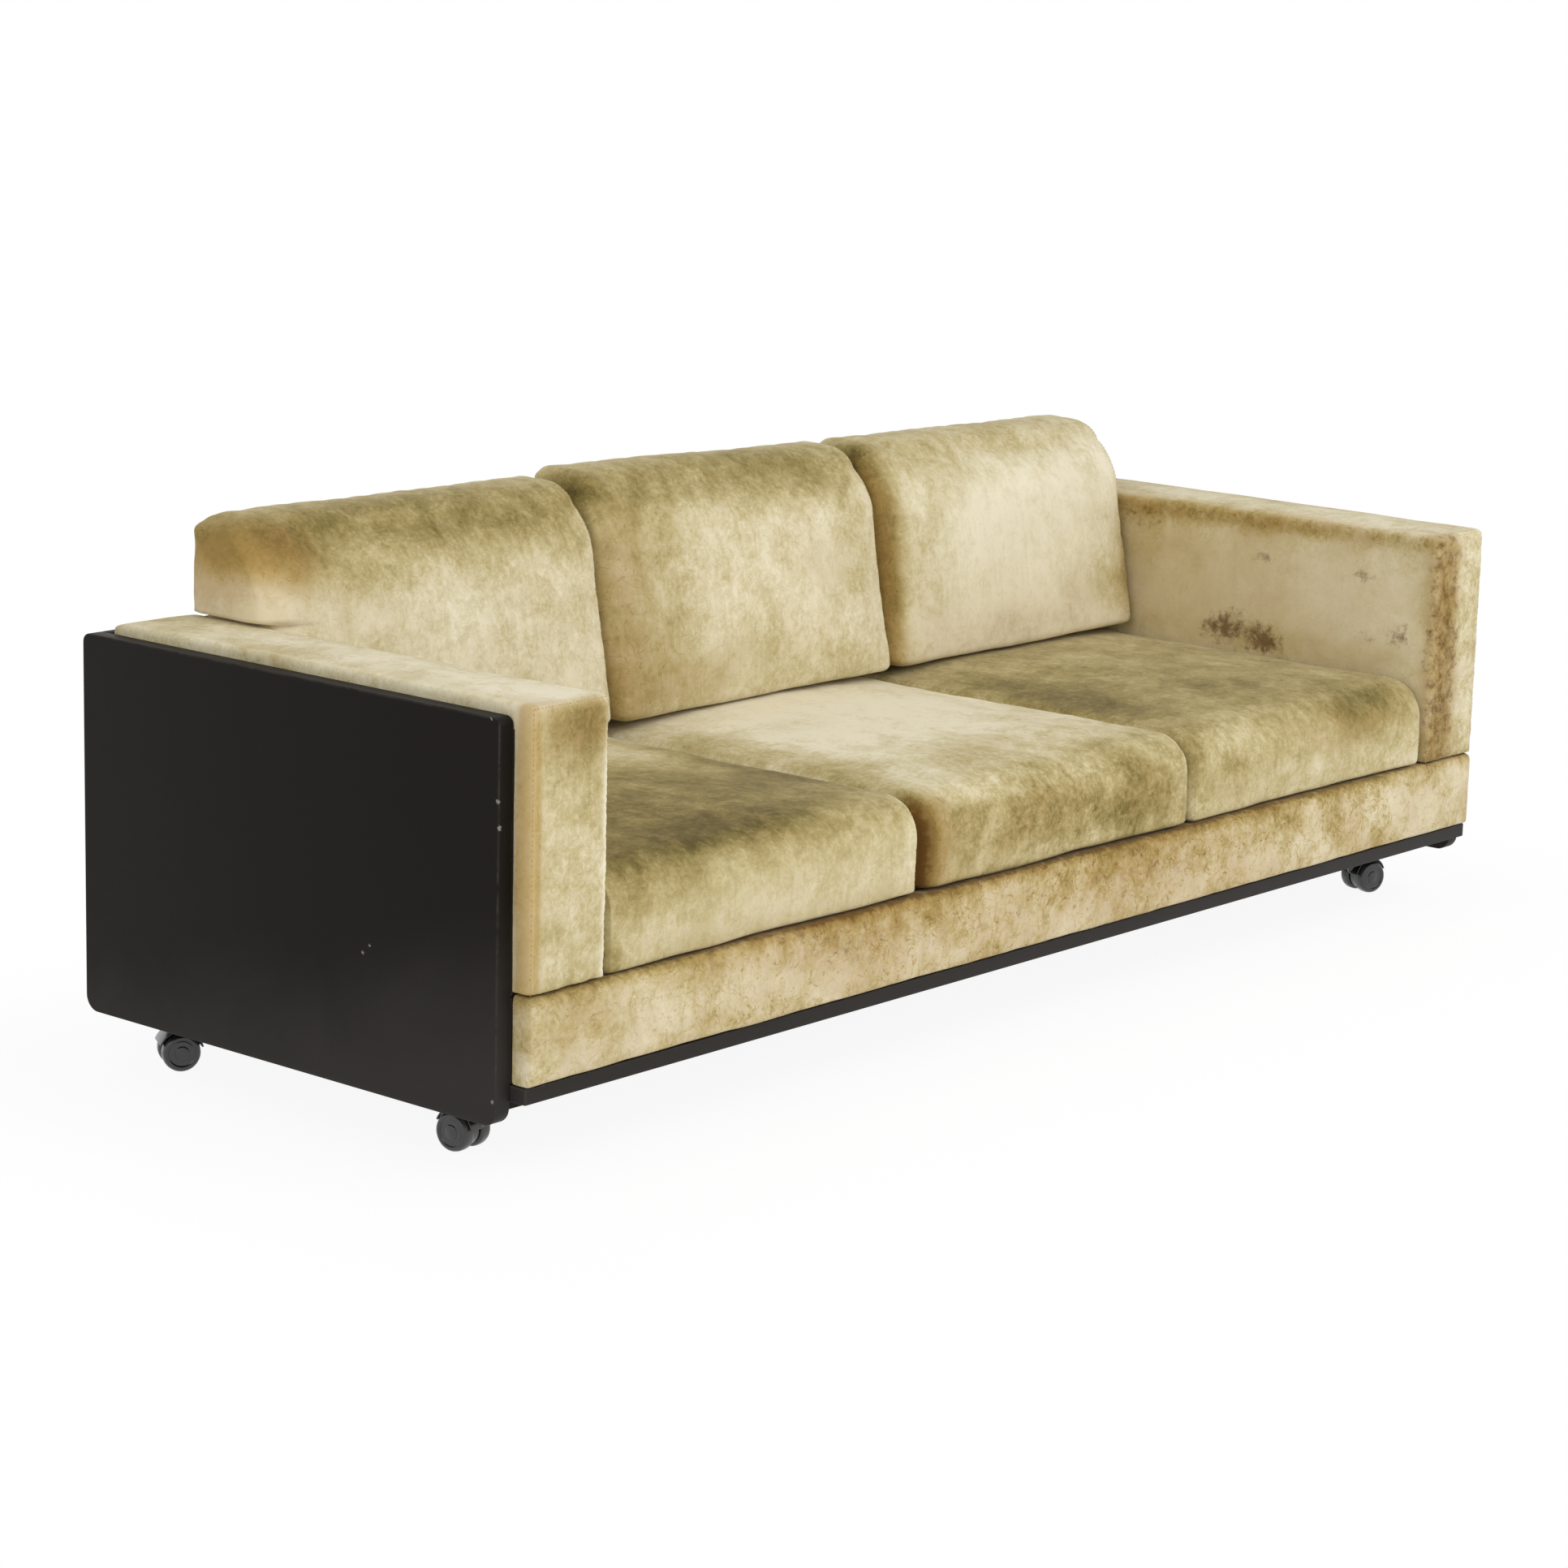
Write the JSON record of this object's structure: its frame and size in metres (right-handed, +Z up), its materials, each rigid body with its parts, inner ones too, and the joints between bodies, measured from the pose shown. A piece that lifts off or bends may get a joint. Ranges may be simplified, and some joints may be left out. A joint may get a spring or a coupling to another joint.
{
  "type": "sofa",
  "caption": "Low sofa: black lacquered board case on swivelling castors, velvet-covered arms and front rail, loose seat and back cushions.",
  "frame": {"origin": "on the floor, under the middle of the sofa's box", "axes": "+X to the right as seen from the front, +Y to the back panel, +Z up"},
  "size_m": [2.2, 0.803, 0.7404],
  "materials": {
    "black_lacquer": "satin",
    "gold_velvet": "matte",
    "elastic_webbing": "matte",
    "deck_lining": "matte",
    "black_nylon": "satin",
    "bright_steel": "satin",
    "frame_timber": "matte"
  },
  "bodies": {
    "sofa": {"arm_front_post_left": "frame_timber", "arm_front_post_right": "frame_timber", "arm_pad_left": "gold_velvet", "arm_pad_right": "gold_velvet", "arm_rear_post_left": "frame_timber", "arm_rear_post_right": "frame_timber", "arm_top_rail_left": "frame_timber", "arm_top_rail_right": "frame_timber", "back_lining": "gold_velvet", "back_panel": "black_lacquer", "base_board": "black_lacquer", "castor_runner_left": "frame_timber", "castor_runner_right": "frame_timber", "castor_socket_front_left": "bright_steel", "castor_socket_front_right": "bright_steel", "castor_socket_rear_left": "bright_steel", "castor_socket_rear_right": "bright_steel", "cross_rail_left": "frame_timber", "cross_rail_right": "frame_timber", "deck_cloth": "deck_lining", "end_rail_left": "frame_timber", "end_rail_right": "frame_timber", "front_rail": "frame_timber", "front_rail_cover": "gold_velvet", "rear_rail": "frame_timber", "seat_webbing": "elastic_webbing", "side_panel_left": "black_lacquer", "side_panel_right": "black_lacquer"},
    "castor_front_left": {"castor_hood_front_left": "black_nylon", "castor_stem_front_left": "bright_steel", "castor_axle_front_left": "bright_steel"},
    "wheel_front_left_a": {"castor_wheel_front_left_a": "black_nylon"},
    "wheel_front_left_b": {"castor_wheel_front_left_b": "black_nylon"},
    "castor_front_right": {"castor_hood_front_right": "black_nylon", "castor_stem_front_right": "bright_steel", "castor_axle_front_right": "bright_steel"},
    "wheel_front_right_a": {"castor_wheel_front_right_a": "black_nylon"},
    "wheel_front_right_b": {"castor_wheel_front_right_b": "black_nylon"},
    "castor_rear_left": {"castor_hood_rear_left": "black_nylon", "castor_stem_rear_left": "bright_steel", "castor_axle_rear_left": "bright_steel"},
    "wheel_rear_left_a": {"castor_wheel_rear_left_a": "black_nylon"},
    "wheel_rear_left_b": {"castor_wheel_rear_left_b": "black_nylon"},
    "castor_rear_right": {"castor_hood_rear_right": "black_nylon", "castor_stem_rear_right": "bright_steel", "castor_axle_rear_right": "bright_steel"},
    "wheel_rear_right_a": {"castor_wheel_rear_right_a": "black_nylon"},
    "wheel_rear_right_b": {"castor_wheel_rear_right_b": "black_nylon"},
    "seat_cushion_left": {"seat_cushion_left": "gold_velvet"},
    "back_cushion_left": {"back_cushion_left": "gold_velvet"},
    "seat_cushion_middle": {"seat_cushion_middle": "gold_velvet"},
    "back_cushion_middle": {"back_cushion_middle": "gold_velvet"},
    "seat_cushion_right": {"seat_cushion_right": "gold_velvet"},
    "back_cushion_right": {"back_cushion_right": "gold_velvet"}
  },
  "joints": [
    {"name": "front_left_swivel", "type": "hinge", "parent": "sofa", "child": "castor_front_left", "pos_m": [-1.0027, -0.2355, 0.06], "axis": [0, 0, 1], "continuous": true},
    {"name": "front_left_wheel_a_roll", "type": "hinge", "parent": "castor_front_left", "child": "wheel_front_left_a", "pos_m": [-1.00444, -0.21558, 0.026], "axis": [-0.9962, -0.0872, 0], "continuous": true},
    {"name": "front_left_wheel_b_roll", "type": "hinge", "parent": "castor_front_left", "child": "wheel_front_left_b", "pos_m": [-1.00444, -0.21558, 0.026], "axis": [-0.9962, -0.0872, 0], "continuous": true},
    {"name": "front_right_swivel", "type": "hinge", "parent": "sofa", "child": "castor_front_right", "pos_m": [1.0027, -0.2355, 0.06], "axis": [0, 0, 1], "continuous": true},
    {"name": "front_right_wheel_a_roll", "type": "hinge", "parent": "castor_front_right", "child": "wheel_front_right_a", "pos_m": [1.02202, -0.24068, 0.026], "axis": [0.2588, 0.9659, 0], "continuous": true},
    {"name": "front_right_wheel_b_roll", "type": "hinge", "parent": "castor_front_right", "child": "wheel_front_right_b", "pos_m": [1.02202, -0.24068, 0.026], "axis": [0.2588, 0.9659, 0], "continuous": true},
    {"name": "rear_left_swivel", "type": "hinge", "parent": "sofa", "child": "castor_rear_left", "pos_m": [-1.0027, 0.2975, 0.06], "axis": [0, 0, 1], "continuous": true},
    {"name": "rear_left_wheel_a_roll", "type": "hinge", "parent": "castor_rear_left", "child": "wheel_rear_left_a", "pos_m": [-1.02002, 0.3075, 0.026], "axis": [-0.5, -0.866, 0], "continuous": true},
    {"name": "rear_left_wheel_b_roll", "type": "hinge", "parent": "castor_rear_left", "child": "wheel_rear_left_b", "pos_m": [-1.02002, 0.3075, 0.026], "axis": [-0.5, -0.866, 0], "continuous": true},
    {"name": "rear_right_swivel", "type": "hinge", "parent": "sofa", "child": "castor_rear_right", "pos_m": [1.0027, 0.2975, 0.06], "axis": [0, 0, 1], "continuous": true},
    {"name": "rear_right_wheel_a_roll", "type": "hinge", "parent": "castor_rear_right", "child": "wheel_rear_right_a", "pos_m": [1.01802, 0.31036, 0.026], "axis": [-0.6428, 0.766, 0], "continuous": true},
    {"name": "rear_right_wheel_b_roll", "type": "hinge", "parent": "castor_rear_right", "child": "wheel_rear_right_b", "pos_m": [1.01802, 0.31036, 0.026], "axis": [-0.6428, 0.766, 0], "continuous": true},
    {"name": "seat_cushion_left_pull", "type": "slide", "parent": "sofa", "child": "seat_cushion_left", "axis": [0, -1, 0], "range_m": [0, 0.35]},
    {"name": "back_cushion_left_lift", "type": "slide", "parent": "sofa", "child": "back_cushion_left", "axis": [0, 0, 1], "range_m": [0, 0.36]},
    {"name": "seat_cushion_middle_pull", "type": "slide", "parent": "sofa", "child": "seat_cushion_middle", "axis": [0, -1, 0], "range_m": [0, 0.35]},
    {"name": "back_cushion_middle_lift", "type": "slide", "parent": "sofa", "child": "back_cushion_middle", "axis": [0, 0, 1], "range_m": [0, 0.36]},
    {"name": "seat_cushion_right_pull", "type": "slide", "parent": "sofa", "child": "seat_cushion_right", "axis": [0, -1, 0], "range_m": [0, 0.35]},
    {"name": "back_cushion_right_lift", "type": "slide", "parent": "sofa", "child": "back_cushion_right", "axis": [0, 0, 1], "range_m": [0, 0.36]}
  ]
}
